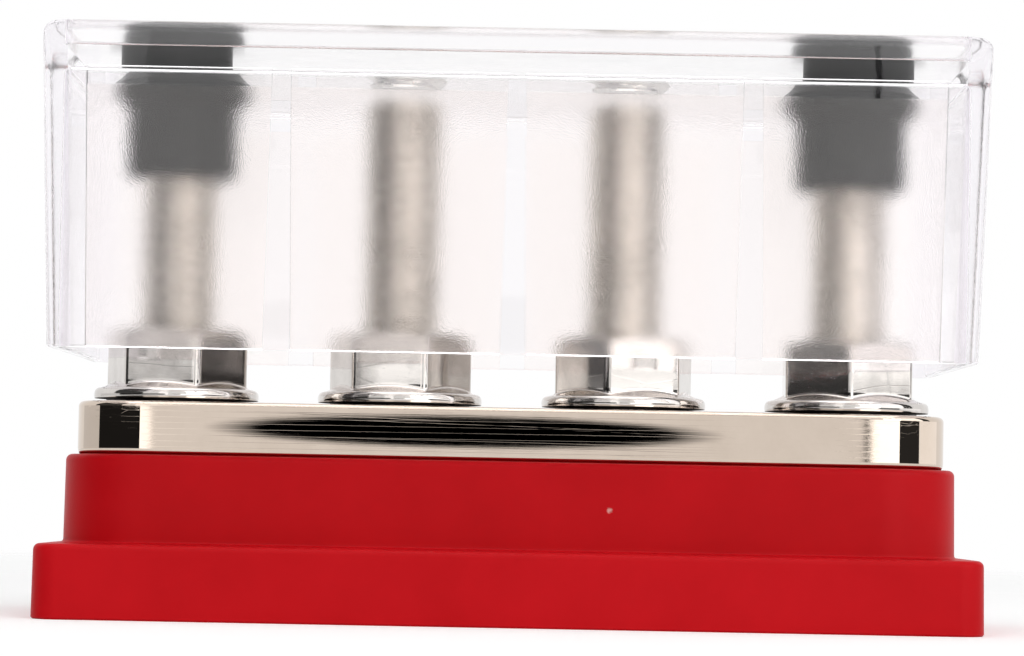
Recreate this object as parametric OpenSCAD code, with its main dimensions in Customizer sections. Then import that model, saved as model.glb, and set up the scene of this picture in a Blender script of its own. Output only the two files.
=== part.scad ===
// Covered power bus bar: a red moulded base, a plated bar with a row of threaded studs,
// a flange nut on each stud and a clear cover that pushes onto the two end studs.
// Millimetres. The origin is at the middle of the foot, +X runs along the row of studs,
// the front is towards -Y and +Z is up.

/* [Studs] */
// Distance between neighbouring studs
stud_pitch = 25.4; // [22:0.1:32]
// Outside diameter of the stud's thread
stud_d = 9.525; // [8:0.005:11]
// Height of the stud's end above the bar
stud_reach = 35; // [32:0.1:45]
// Chamfer at the stud's end
stud_chamfer = 1; // [0.5:0.1:1.5]
// Distance across the flats of the stud's hex head
head_flats = 14.29; // [13:0.01:17]
// Height of the stud's hex head
head_h = 6.1; // [5:0.1:8]
// Diameter of the round face under the hex head
head_face_d = 13.7; // [12:0.1:14]

/* [Bar] */
// Depth of the bar, front to back
bar_dep = 25.4; // [20:0.1:32]
// Thickness of the bar
bar_t = 6.35; // [4:0.05:10]
// Distance from an end stud to the bar's end
bar_end = 10.45; // [9.5:0.05:14]
// Radius of the bar's corners, seen from above
bar_corner_r = 8; // [3:0.1:9]
// Rounding of the bar's edges
bar_edge_r = 0.6; // [0.3:0.05:1.2]

/* [Base block] */
// Height of the block above the plate
block_h = 9.8; // [8:0.1:14]
// Width of the lip around the bar's seat
block_lip = 1.1; // [0.6:0.1:3]
// Rounding of the block's top edge
block_edge_r = 0.7; // [0.3:0.05:0.8]
// How far each side of the block leans in from foot to top
block_draft = 0.1; // [0:0.05:0.6]
// Depth of the seat that the bar lies in
seat_depth = 0.4; // [0.2:0.05:1.5]
// Gap around the bar in its seat
seat_clear = 0.15; // [0.1:0.05:0.4]
// Thickness of the floor between the bar's seat and the stud heads
floor_t = 4; // [3:0.1:6]

/* [Base plate] */
// Height of the plate
plate_h = 8.1; // [6:0.1:12]
// How far the plate stands out past each end of the block
plate_end_step = 1.35; // [1:0.05:12]
// How far the plate stands out past the block's front and back
plate_side_step = 9; // [8.5:0.1:16]
// Radius of the plate's corners, seen from above
plate_corner_r = 3; // [2:0.1:5]
// Rounding of the plate's top edge
plate_edge_r = 0.7; // [0.3:0.05:1.2]
// How far each side of the plate leans in from foot to top
plate_draft = 0.1; // [0:0.05:0.8]
// Diameter of the mounting screw holes
screw_d = 5; // [4:0.1:6]
// Distance from the plate's end to a screw hole
screw_end = 6.8; // [5:0.05:10]
// Distance from the plate's front or back to a screw hole
screw_side = 4.8; // [4.2:0.05:6]

/* [Coring under the base] */
// Thickness of the outer walls left by the coring
core_wall = 2.5; // [1.8:0.1:3.5]
// Thickness of the ribs between the cored cells
core_rib = 1.8; // [1.2:0.1:3]
// Thickness of the plate's top over the cells in its flanges
flange_t = 3; // [2:0.1:5]

/* [Flange nuts] */
// Distance across the nut's flats
nut_flats = 14.29; // [13:0.01:17]
// Height of the nut
nut_h = 8.5; // [7:0.1:11]
// Diameter of the nut's flange
flange_d = 18.7; // [17:0.1:19]
// Radius of the flange's round rim
flange_rim_r = 0.85; // [0.5:0.05:1.2]
// Height at which the flange's cone runs into the hex
flange_cone_h = 3.3; // [2.5:0.1:4.5]
// Diameter of the round top face of the nut
nut_top_d = 13.7; // [12:0.1:14]
// Angle of each nut about its stud, from left to right
nut_turn = [21, 22, -13, -2]; // [-30:1:30]

/* [Cover] */
// Height of the gap between the bar and the cover's lower edge
cable_gap = 5.4; // [4.5:0.1:10]
// Gap between the stud ends and the underside of the roof
roof_gap = 0.7; // [0.2:0.1:2]
// Thickness of the roof
roof_t = 2.4; // [1.8:0.1:4]
// Height of the rim around the roof
rim_h = 2.6; // [1.9:0.1:4]
// Width of the rim around the roof
rim_w = 2.4; // [1.8:0.1:4]
// How far the cover's top stands out past the foot of the base plate
cover_overhang = 0.25; // [0:0.05:1]
// How far each wall leans in from the top to the lower edge
cover_lean = 1.1; // [0:0.1:2]
// Radius of the cover's upright corners
cover_corner_r = 3; // [2.5:0.1:6]
// Rounding of the cover's top edge
cover_edge_r = 1.3; // [0.6:0.1:1.8]
// Rounding of the upper edges inside the cover
inner_edge_r = 0.6; // [0.3:0.1:1]
// Radius of the upright corners inside the cover
inner_corner_r = 1; // [0.8:0.1:3]
// Thickness of the walls under the roof
wall_top = 2.4; // [2:0.1:3.5]
// Thickness of the end walls at their lower edge
end_wall_foot = 1.4; // [1.2:0.1:3]
// Thickness of the front and back walls at their lower edge
long_wall_foot = 2; // [1.8:0.1:3]

/* [Break-out panels] */
// Depth of the recess that leaves each thin panel
panel_depth = 0.9; // [0.5:0.1:1.2]
// Extra depth of the scored strip along a panel's top
score_depth = 0.5; // [0.2:0.1:0.6]
// Height of the scored strip
score_h = 1.9; // [1:0.1:3]
// Distance from the roof's upper face down to a panel's top
panel_drop = 2.4; // [1.8:0.1:3.2]
// Width of the rib between two panels, at the top
panel_rib_top = 2; // [1.4:0.1:4]
// Width of the rib between two panels, at the lower edge
panel_rib_foot = 3; // [1.6:0.1:5]
// Distance from an end panel's outer edge to the cover's end
panel_end = 5.1; // [4:0.1:7]

/* [Cover bushings] */
// Diameter of the bushing's barrel
barrel_d = 12.6; // [12:0.1:16]
// Length of stud that the barrel covers
barrel_grip = 9.4; // [7:0.1:14]
// Diameter of the shoulder under the roof
shoulder_d = 15.5; // [15:0.1:19]
// Height of the shoulder's upright edge
shoulder_h = 0.8; // [0.5:0.1:2]
// Height of the cone below the shoulder
shoulder_cone_h = 1.7; // [0.8:0.1:3]
// Diameter of the neck through the roof
neck_d = 12.4; // [10:0.1:12.6]
// Diameter of the head on top of the roof
bushing_head_d = 13.7; // [13.4:0.1:17]
// Height of the head on top of the roof
bushing_head_h = 4.8; // [2.5:0.1:5]
// Rounding of the bushing's edges
bushing_edge_r = 0.9; // [0.4:0.1:1.2]

/* [Fits] */
// Radial gap between the stud and the holes in the bar and base
stud_hole_clear = 0.05; // [0.03:0.01:0.3]
// Radial gap between the stud and the bore of a nut
nut_clear = 0.05; // [0.03:0.01:0.1]
// Radial gap between the stud and the bore of a bushing
bushing_clear = 0.06; // [0.03:0.01:0.1]
// Gap between a stud's head and the flats of its pocket
pocket_clear = 0.2; // [0.1:0.05:0.4]
// Radial gap between a bushing's neck and its hole in the roof
neck_clear = 0.1; // [0.05:0.05:0.3]

/* [Hidden] */
STUDS = 4;
$fn = 64;
moulding_fn = 48;
eps = 0.02;
overlap = 0.4;
over = 1;
hex_chamfer_angle = 30;

stud_x = [for (i = [0:STUDS - 1]) (i - (STUDS - 1) / 2) * stud_pitch];
stud_r = stud_d / 2;

bar_len = (STUDS - 1) * stud_pitch + 2 * bar_end;
seat_len = bar_len + 2 * seat_clear;
seat_dep = bar_dep + 2 * seat_clear;
seat_corner_r = bar_corner_r + seat_clear;
block_len = seat_len + 2 * (block_lip + block_draft);
block_dep = seat_dep + 2 * (block_lip + block_draft);
block_corner_r = seat_corner_r + block_lip;
plate_len = block_len + 2 * plate_end_step;
plate_dep = block_dep + 2 * plate_side_step;

block_z = plate_h + block_h;
seat_z = block_z - seat_depth;
bar_z = seat_z + bar_t;
stud_z = bar_z + stud_reach;
head_seat_z = seat_z - floor_t;
pocket_flats = head_flats + 2 * pocket_clear;

cell_w = stud_pitch - pocket_flats - 2 * core_wall;
cell_dep = block_dep / 2 - core_wall - core_rib / 2;
flange_cell_y = block_dep / 2;
flange_cell_dep = plate_side_step - core_wall;
flange_cells = 2 * (STUDS - 1);
flange_cell_pitch = stud_pitch / 2;
screw_x = plate_len / 2 - screw_end;
screw_y = plate_dep / 2 - screw_side;

cover_len = plate_len + 2 * cover_overhang;
cover_dep = plate_dep + 2 * cover_overhang;
cover_foot_z = bar_z + cable_gap;
roof_under_z = stud_z + roof_gap;
roof_z = roof_under_z + roof_t;
rim_z = roof_z + rim_h;
lean_z = rim_z - cover_edge_r;
panel_top_z = roof_z - panel_drop;

neck_r = neck_d / 2;
barrel_z = stud_z - barrel_grip;

// Distance from the middle to the outer face of a long wall at height z
function long_wall_y(z) =
    cover_dep / 2 - cover_lean * (lean_z - z) / (lean_z - cover_foot_z);

// Rectangle with round corners, centred on the origin
module round_rect(len, dep, r) {
    square([len - 2 * r, dep], center = true);
    square([len, dep - 2 * r], center = true);
    for (x = [-1, 1], y = [-1, 1])
        translate([x * (len / 2 - r), y * (dep / 2 - r)]) circle(r);
}

// Places its children at the four corners of a rectangle
module corners(len, dep, inset) {
    for (x = [-1, 1], y = [-1, 1])
        translate([x * (len / 2 - inset), y * (dep / 2 - inset), 0]) children();
}

// Ring with a round section, as the rounded edge of a corner
module edge_ring(corner_r, edge_r) {
    rotate_extrude($fn = moulding_fn)
        intersection() {
            translate([corner_r - edge_r, 0]) circle(edge_r, $fn = moulding_fn);
            translate([0, -edge_r]) square([corner_r, 2 * edge_r]);
        }
}

// Block that leans in by draft on each side towards a rounded top edge
module drafted_block(len, dep, h, corner_r, edge_r, draft) {
    hull() {
        corners(len, dep, corner_r) cylinder(r = corner_r, h = eps, $fn = moulding_fn);
        translate([0, 0, h - edge_r])
            corners(len - 2 * draft, dep - 2 * draft, corner_r) edge_ring(corner_r, edge_r);
    }
}

// Half section of a disc with rounded upper and lower outer edges
module disc_section(r, h, low_r, high_r) {
    square([r - max(low_r, high_r), h]);
    translate([0, low_r]) square([r, h - low_r - high_r]);
    if (low_r > 0) {
        square([r - low_r, low_r]);
        translate([r - low_r, low_r]) circle(low_r);
    }
    if (high_r > 0) {
        translate([0, h - high_r]) square([r - high_r, high_r]);
        translate([r - high_r, h - high_r]) circle(high_r);
    }
}

// Hex prism with its flats towards +X and -X
module hex_prism(flats, h) {
    rotate([0, 0, 30]) cylinder(d = flats / cos(30), h = h, $fn = 6);
}

// Pockets for the stud heads and the cored cells between and beside them
module base_coring() {
    for (x = stud_x) translate([x, 0, -over]) hex_prism(pocket_flats, head_seat_z + over);
    for (i = [0:STUDS - 2], side = [-1, 1])
        translate([
            (stud_x[i] + stud_x[i + 1]) / 2 - cell_w / 2,
            side > 0 ? core_rib / 2 : -core_rib / 2 - cell_dep,
            -over
        ])
            cube([cell_w, cell_dep, head_seat_z + over]);
    for (i = [0:flange_cells - 1], side = [-1, 1])
        translate([
            (i - flange_cells / 2) * flange_cell_pitch + core_rib / 2,
            side > 0 ? flange_cell_y : -flange_cell_y - flange_cell_dep,
            -over
        ])
            cube([flange_cell_pitch - core_rib, flange_cell_dep, plate_h - flange_t + over]);
}

module base() {
    color([0.75, 0.08, 0.1])
        difference() {
            union() {
                drafted_block(plate_len, plate_dep, plate_h, plate_corner_r, plate_edge_r, plate_draft);
                translate([0, 0, plate_h - plate_edge_r])
                    drafted_block(
                        block_len, block_dep, block_h + plate_edge_r,
                        block_corner_r, block_edge_r, block_draft
                    );
            }
            translate([0, 0, seat_z])
                linear_extrude(seat_depth + over) round_rect(seat_len, seat_dep, seat_corner_r);
            base_coring();
            for (x = stud_x)
                translate([x, 0, 0]) cylinder(r = stud_r + stud_hole_clear, h = block_z);
            for (x = [-screw_x, screw_x], y = [-screw_y, screw_y])
                translate([x, y, -over]) cylinder(d = screw_d, h = plate_h + 2 * over);
        }
}

module bus_bar() {
    color([0.82, 0.79, 0.75])
        difference() {
            translate([0, 0, seat_z])
                hull()
                    for (z = [bar_edge_r, bar_t - bar_edge_r])
                        translate([0, 0, z])
                            corners(bar_len, bar_dep, bar_corner_r)
                                edge_ring(bar_corner_r, bar_edge_r);
            for (x = stud_x)
                translate([x, 0, seat_z - over])
                    cylinder(r = stud_r + stud_hole_clear, h = bar_t + 2 * over);
        }
}

// Hex-headed stud, put in from below, with its head up against the floor of its pocket
module stud(i) {
    head_face_r = head_face_d / 2;
    color([0.7, 0.68, 0.65])
        translate([stud_x[i], 0, 0]) {
            rotate_extrude()
                polygon([
                    [0, head_seat_z - eps], [stud_r, head_seat_z - eps], [stud_r, stud_z - stud_chamfer],
                    [stud_r - stud_chamfer, stud_z], [0, stud_z]
                ]);
            translate([0, 0, head_seat_z - head_h])
                intersection() {
                    hex_prism(head_flats, head_h);
                    cylinder(r1 = head_face_r, r2 = head_face_r + head_h / tan(hex_chamfer_angle), h = head_h);
                }
        }
}

// Hex nut on a round flange, seated on the bar
module nut(i) {
    flange_r = flange_d / 2;
    hex_r = nut_flats / 2;
    corner_r = hex_r / cos(30) + eps;
    chamfer_h = (corner_r - nut_top_d / 2) * tan(hex_chamfer_angle);
    color([0.8, 0.78, 0.75])
        translate([stud_x[i], 0, bar_z])
            rotate([0, 0, nut_turn[i]])
                difference() {
                    union() {
                        rotate_extrude() {
                            polygon([
                                [0, 0], [flange_r - flange_rim_r, 0],
                                [flange_r - flange_rim_r, 2 * flange_rim_r],
                                [hex_r - overlap, flange_cone_h], [0, flange_cone_h]
                            ]);
                            translate([flange_r - flange_rim_r, flange_rim_r]) circle(flange_rim_r);
                        }
                        intersection() {
                            translate([0, 0, flange_rim_r])
                                hex_prism(nut_flats, nut_h - flange_rim_r + over);
                            rotate_extrude()
                                polygon([
                                    [0, 0], [corner_r, 0], [corner_r, nut_h - chamfer_h],
                                    [nut_top_d / 2, nut_h], [0, nut_h]
                                ]);
                        }
                    }
                    translate([0, 0, -over]) cylinder(r = stud_r + nut_clear, h = nut_h + 2 * over);
                }
}

// Outlines of the panels in one long wall, drawn with x along the cover and y as the height
module panel_outlines() {
    edges = concat(
        [-cover_len / 2 + panel_end - panel_rib_top / 2],
        [for (i = [0:STUDS - 2]) (stud_x[i] + stud_x[i + 1]) / 2],
        [cover_len / 2 - panel_end + panel_rib_top / 2]
    );
    for (i = [0:STUDS - 1])
        polygon([
            [edges[i] + panel_rib_foot / 2, cover_foot_z - over],
            [edges[i + 1] - panel_rib_foot / 2, cover_foot_z - over],
            [edges[i + 1] - panel_rib_top / 2, panel_top_z],
            [edges[i] + panel_rib_top / 2, panel_top_z]
        ]);
}

// Cut that follows the outer face of the front wall between two heights
module wall_cut(depth, low_z, high_z) {
    intersection() {
        rotate([90, 0, 0]) linear_extrude(cover_dep) panel_outlines();
        translate([-cover_len / 2, 0, 0])
            rotate([90, 0, 90])
                linear_extrude(cover_len)
                    polygon([
                        [-long_wall_y(low_z) - over, low_z], [-long_wall_y(low_z) + depth, low_z],
                        [-long_wall_y(high_z) + depth, high_z], [-long_wall_y(high_z) - over, high_z]
                    ]);
    }
}

// Space inside the cover, with its upper edges rounded
module cover_cavity() {
    foot_len = cover_len - 2 * (cover_lean + end_wall_foot);
    foot_dep = cover_dep - 2 * (cover_lean + long_wall_foot);
    hull() {
        translate([0, 0, cover_foot_z - eps])
            corners(foot_len, foot_dep, inner_corner_r)
                cylinder(r = inner_corner_r, h = eps, $fn = moulding_fn);
        translate([0, 0, roof_under_z - inner_edge_r])
            corners(cover_len - 2 * wall_top, cover_dep - 2 * wall_top, inner_corner_r)
                edge_ring(inner_corner_r, inner_edge_r);
    }
}

module cover() {
    color([0.95, 0.95, 0.97, 0.35])
        difference() {
            translate([0, 0, cover_foot_z])
                drafted_block(
                    cover_len - 2 * cover_lean, cover_dep - 2 * cover_lean, rim_z - cover_foot_z,
                    cover_corner_r, cover_edge_r, -cover_lean
                );
            cover_cavity();
            translate([0, 0, roof_z])
                linear_extrude(rim_h + over)
                    round_rect(
                        cover_len - 2 * rim_w, cover_dep - 2 * rim_w,
                        max(cover_corner_r - rim_w, cover_corner_r / 3)
                    );
            for (side = [0, 1])
                mirror([0, side, 0]) {
                    wall_cut(panel_depth, cover_foot_z - over, panel_top_z);
                    wall_cut(panel_depth + score_depth, panel_top_z - score_h, panel_top_z);
                }
            for (i = [0, STUDS - 1])
                translate([stud_x[i], 0, roof_under_z - over])
                    cylinder(r = neck_r + neck_clear, h = roof_t + 2 * over);
        }
}

// Soft bushing, held in the roof by its neck, with a blind bore that grips the stud's end
module cover_bushing(i) {
    shoulder_r = shoulder_d / 2;
    barrel_r = barrel_d / 2;
    shoulder_z = roof_under_z - shoulder_h;
    color([0.1, 0.1, 0.11])
        translate([stud_x[i], 0, 0])
            difference() {
                rotate_extrude() {
                    translate([0, barrel_z])
                        disc_section(barrel_r, roof_under_z - barrel_z, bushing_edge_r, 0);
                    polygon([
                        [0, shoulder_z - shoulder_cone_h], [barrel_r, shoulder_z - shoulder_cone_h],
                        [shoulder_r, shoulder_z], [shoulder_r, roof_under_z], [0, roof_under_z]
                    ]);
                    translate([0, roof_under_z]) square([neck_r, roof_t]);
                    translate([0, roof_z])
                        disc_section(bushing_head_d / 2, bushing_head_h, bushing_edge_r, bushing_edge_r);
                }
                translate([0, 0, barrel_z - over])
                    cylinder(r = stud_r + bushing_clear, h = barrel_grip + over);
            }
}

base();
bus_bar();
for (i = [0:STUDS - 1]) {
    stud(i);
    nut(i);
}
cover();
cover_bushing(0);  // cover_bushing_left
cover_bushing(STUDS - 1);  // cover_bushing_right
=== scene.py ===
"""Looks of a covered power bus bar: moulded base, plated bar, studs, flange nuts and a clear cover.

Sizes in the classes are millimetres and meshes are made in metres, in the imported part's own frame:
+X along the row of studs, the front towards -Y, +Z up.
"""

import logging
import math
from dataclasses import dataclass
from enum import Enum, IntEnum
from typing import Iterable, Sequence

import bmesh
import bpy
import numpy as np
from bpy.types import Material, Node, NodeSocket, NodeTree, Object
from mathutils import Matrix, Vector


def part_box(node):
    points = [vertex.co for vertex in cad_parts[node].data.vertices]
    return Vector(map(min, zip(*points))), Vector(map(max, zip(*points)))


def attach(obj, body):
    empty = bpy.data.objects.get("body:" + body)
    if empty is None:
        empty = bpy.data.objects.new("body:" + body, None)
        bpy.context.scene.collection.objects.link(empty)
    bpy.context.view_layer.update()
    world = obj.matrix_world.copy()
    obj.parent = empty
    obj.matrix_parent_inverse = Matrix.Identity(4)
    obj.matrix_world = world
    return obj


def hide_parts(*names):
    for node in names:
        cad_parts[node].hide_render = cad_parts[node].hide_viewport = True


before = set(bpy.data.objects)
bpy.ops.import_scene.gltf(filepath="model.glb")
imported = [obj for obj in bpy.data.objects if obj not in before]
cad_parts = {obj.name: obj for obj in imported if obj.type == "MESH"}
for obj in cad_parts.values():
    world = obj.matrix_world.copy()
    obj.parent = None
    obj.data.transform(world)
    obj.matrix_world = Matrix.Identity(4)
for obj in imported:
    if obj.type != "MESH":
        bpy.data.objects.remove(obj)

Colour = tuple[float, float, float, float]
Point = tuple[float, float, float]

MM = 0.001
STUD_NODES = ("stud_1", "stud_2", "stud_3", "stud_4")
NUT_TURNS = {"nut_1": 21, "nut_2": 22, "nut_3": -13, "nut_4": -2}
BUSHING_NODES = ("cover_bushing_left", "cover_bushing_right")
CUT_PAST = 1.0
MIN_CORNER_R = 0.05
PRINCIPLED = "ShaderNodeBsdfPrincipled"
GLOW = "ShaderNodeEmission"
HEX_CHAMFER_SLOPE = math.tan(math.radians(30))
BLOTCH_RANGE = (0.3, 0.7)
CLOUD_RANGE = (0.35, 0.7)

log = logging.getLogger("bus_bar")


class Slot(Enum):
    """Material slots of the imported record."""

    BASE = "red_moulding"
    BAR = "plated_bar"
    STUD = "stud_steel"
    NUT = "nut_steel"
    COVER = "clear_moulding"
    BUSHING = "black_rubber"


class Body(Enum):
    """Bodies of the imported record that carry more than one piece."""

    BASE = "base_assembly"
    COVER = "cover_assembly"


def node_box(node: str) -> tuple[np.ndarray, np.ndarray]:
    """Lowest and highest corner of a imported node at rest, in millimetres."""
    low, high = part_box(node)
    return np.array(low) / MM, np.array(high) / MM


def quarter_arc(count: int) -> list[tuple[float, float]]:
    """Sine and cosine pairs of a quarter turn, both ends included."""
    return [(math.sin(a), math.cos(a)) for a in np.linspace(0.0, math.pi / 2, count)]


@dataclass(frozen=True)
class Ring:
    """One level of a loft: a rectangle with round corners, in millimetres."""

    z: float
    length: float
    depth: float
    radius: float

    def inset(self, amount: float, z: float) -> "Ring":
        """The same outline drawn in by an amount on every side, at another height."""
        radius = max(self.radius - amount, MIN_CORNER_R)
        return Ring(z, self.length - 2 * amount, self.depth - 2 * amount, radius)

    def within(self, amount: float, radius: float) -> "Ring":
        """The same outline drawn in by an amount, with corners of its own, at the same height."""
        return Ring(self.z, self.length - 2 * amount, self.depth - 2 * amount, radius)

    def opening(self, radius: float, z: float, levels: int, side: int = 1, up: int = 1) -> list["Ring"]:
        """Levels of a quarter round onto this outline, from inside (side 1) or outside (-1), up or down."""
        return [
            self.inset(side * radius * (1 - sine), z + up * radius * (1 - cosine))
            for sine, cosine in quarter_arc(levels)
        ]

    def closing(self, radius: float, z: float, levels: int, side: int = 1) -> list["Ring"]:
        """Levels of a quarter round from this outline to a flat inside (side 1) or outside (-1) of it."""
        return [
            self.inset(side * radius * (1 - cosine), z - radius * (1 - sine))
            for sine, cosine in quarter_arc(levels)
        ]

    def points(self, steps: int) -> np.ndarray:
        """Points around the outline.

        Args:
            steps: number of steps along each round corner.

        Returns:
            Points in millimetres, counter-clockwise seen from above.
        """
        turn = np.linspace(0.0, math.pi / 2, steps + 1)
        rows = []
        for quarter, (sx, sy) in enumerate(((1, 1), (-1, 1), (-1, -1), (1, -1))):
            angle = turn + quarter * math.pi / 2
            x = sx * (self.length / 2 - self.radius) + self.radius * np.cos(angle)
            y = sy * (self.depth / 2 - self.radius) + self.radius * np.sin(angle)
            rows.append(np.column_stack((x, y, np.full(len(angle), self.z))))
        return np.vstack(rows)


def scene_object(name: str, data: bpy.types.ID) -> Object:
    """A new object with this data, linked to the scene."""
    made = bpy.data.objects.new(name, data)
    bpy.context.scene.collection.objects.link(made)
    return made


def mesh_object(name: str, points: np.ndarray, faces: Iterable[Sequence[int]]) -> Object:
    """A new mesh object with its faces turned outwards.

    Args:
        name: name of the object.
        points: vertices in millimetres.
        faces: vertex numbers of each face.

    Returns:
        The object, linked to the scene.
    """
    mesh = bpy.data.meshes.new(name)
    mesh.from_pydata((np.asarray(points) * MM).tolist(), [], [list(f) for f in faces])
    shell = bmesh.new()
    shell.from_mesh(mesh)
    bmesh.ops.recalc_face_normals(shell, faces=shell.faces)
    if shell.calc_volume(signed=True) < 0:
        bmesh.ops.reverse_faces(shell, faces=shell.faces)
    shell.to_mesh(mesh)
    shell.free()
    return scene_object(name, mesh)


def strip_faces(rows: int, around: int, closed: bool = False) -> list[list[int]]:
    """Quads between rows of points that each run once around.

    Args:
        rows: number of rows.
        around: number of points in a row.
        closed: whether the last row joins the first.

    Returns:
        Faces that look outwards where the rows run upwards and counter-clockwise.
    """
    faces = []
    for row in range(rows if closed else rows - 1):
        above = (row + 1) % rows
        for k in range(around):
            nxt = (k + 1) % around
            faces.append([row * around + k, row * around + nxt, above * around + nxt, above * around + k])
    return faces


def capped_faces(rows: int, around: int, first: int = 0) -> list[list[int]]:
    """Quads between rows of points, with a cap on both ends, numbered from a first point."""
    caps = [list(range(around))[::-1], list(range((rows - 1) * around, rows * around))]
    return [[first + k for k in face] for face in strip_faces(rows, around) + caps]


def rows_around(
    angle: np.ndarray, rows: Sequence[tuple[object, float]], centre: tuple[float, float],
) -> np.ndarray:
    """Points of rows of radius, one or one for each angle, and height around an upright axis."""
    x, y = centre
    return np.vstack([
        np.column_stack((x + r * np.cos(angle), y + r * np.sin(angle), np.full(len(angle), z)))
        for r, z in rows
    ])


def loft(name: str, rings: Sequence[Ring], steps: int) -> Object:
    """A closed body through rings of equal point count, with flat caps on both ends."""
    points = np.vstack([ring.points(steps) for ring in rings])
    return mesh_object(name, points, capped_faces(len(rings), 4 * (steps + 1)))


def turned(
    name: str, profile: Sequence[tuple[float, float]], steps: int, centre: tuple[float, float],
) -> Object:
    """A turned body from a profile of radius and height that starts and ends on the axis.

    Args:
        name: name of the object.
        profile: radius and height pairs, the first and last of radius 0.
        steps: points around.
        centre: X and Y of the axis.

    Returns:
        The object.
    """
    angle = np.linspace(0.0, 2 * math.pi, steps, endpoint=False)
    inner = profile[1:-1]
    ends = [(*centre, profile[0][1]), (*centre, profile[-1][1])]
    faces = strip_faces(len(inner), steps)
    first, last = len(inner) * steps, len(inner) * steps + 1
    top = (len(inner) - 1) * steps
    for k in range(steps):
        nxt = (k + 1) % steps
        faces.append([first, nxt, k])
        faces.append([last, top + k, top + nxt])
    return mesh_object(name, np.vstack((rows_around(angle, inner, centre), ends)), faces)


def prisms(name: str, shapes: Sequence[tuple[np.ndarray, np.ndarray]]) -> Object:
    """Several closed prisms in one mesh.

    Args:
        name: name of the object.
        shapes: for each prism its lower and upper outline, counter-clockwise seen from above.

    Returns:
        The object.
    """
    points, faces, first = [], [], 0
    for low, high in shapes:
        points.extend((low, high))
        faces.extend(capped_faces(2, len(low), first))
        first += 2 * len(low)
    return mesh_object(name, np.vstack(points), faces)


def outline_prism(outline: np.ndarray, low: float, high: float) -> tuple[np.ndarray, np.ndarray]:
    """An upright prism between two heights, as the pair of outlines that prisms() takes."""
    flat = np.asarray(outline, float)
    return tuple(np.column_stack((flat, np.full(len(flat), z))) for z in (low, high))


def circle_outline(x: float, y: float, radius: float, steps: int = 64) -> np.ndarray:
    """Points of a circle, counter-clockwise."""
    angle = np.linspace(0.0, 2 * math.pi, steps, endpoint=False)
    return np.column_stack((x + radius * np.cos(angle), y + radius * np.sin(angle)))


def box_outline(x0: float, y0: float, x1: float, y1: float) -> np.ndarray:
    """Corners of a rectangle, counter-clockwise."""
    return np.array([(x0, y0), (x1, y0), (x1, y1), (x0, y1)])


def cut(body: Object, cutter: Object) -> None:
    """Takes a cutter's volume out of a body and deletes the cutter.

    Args:
        body: the piece that is cut.
        cutter: the volume that is taken out.
    """
    change = body.modifiers.new("cut", "BOOLEAN")
    change.operation = "DIFFERENCE"
    change.solver = "EXACT"
    change.object = cutter
    ready = body.evaluated_get(bpy.context.evaluated_depsgraph_get())
    result = bpy.data.meshes.new_from_object(ready)
    old = body.data
    body.modifiers.remove(change)
    body.data = result
    result.name = body.name
    bpy.data.meshes.remove(old)
    bpy.data.objects.remove(cutter)


def drill(body: Object, places: Iterable[float], radius: float, low: float, high: float) -> None:
    """Drills upright holes at places on the row of studs, through faces at two heights."""
    cut(body, prisms("holes", [
        outline_prism(circle_outline(x, 0.0, radius), low - CUT_PAST, high + CUT_PAST) for x in places
    ]))


def shade(piece: Object, sharp_degrees: float, even: bool = True) -> None:
    """Smooth shading with sharp edges above an angle.

    Args:
        piece: mesh object.
        sharp_degrees: edges that fold by more than this stay sharp.
        even: weigh the normals by face size, so that large flats stay flat.
    """
    mesh = piece.data
    mesh.polygons.foreach_set("use_smooth", np.ones(len(mesh.polygons), bool))
    mesh.set_sharp_from_angle(angle=math.radians(sharp_degrees))
    if even:
        normals = piece.modifiers.new("even_normals", "WEIGHTED_NORMAL")
        normals.keep_sharp = True


def fit(piece: Object, node: str, body: str, slot: Slot, *finishes: Material) -> None:
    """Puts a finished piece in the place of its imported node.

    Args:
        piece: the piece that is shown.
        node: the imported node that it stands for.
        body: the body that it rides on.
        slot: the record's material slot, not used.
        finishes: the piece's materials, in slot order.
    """
    piece.data.materials.clear()
    for finish in finishes:
        piece.data.materials.append(finish)
    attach(piece, body)
    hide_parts(node)
    log.info("%s: %d faces", piece.name, len(piece.data.polygons))


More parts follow.
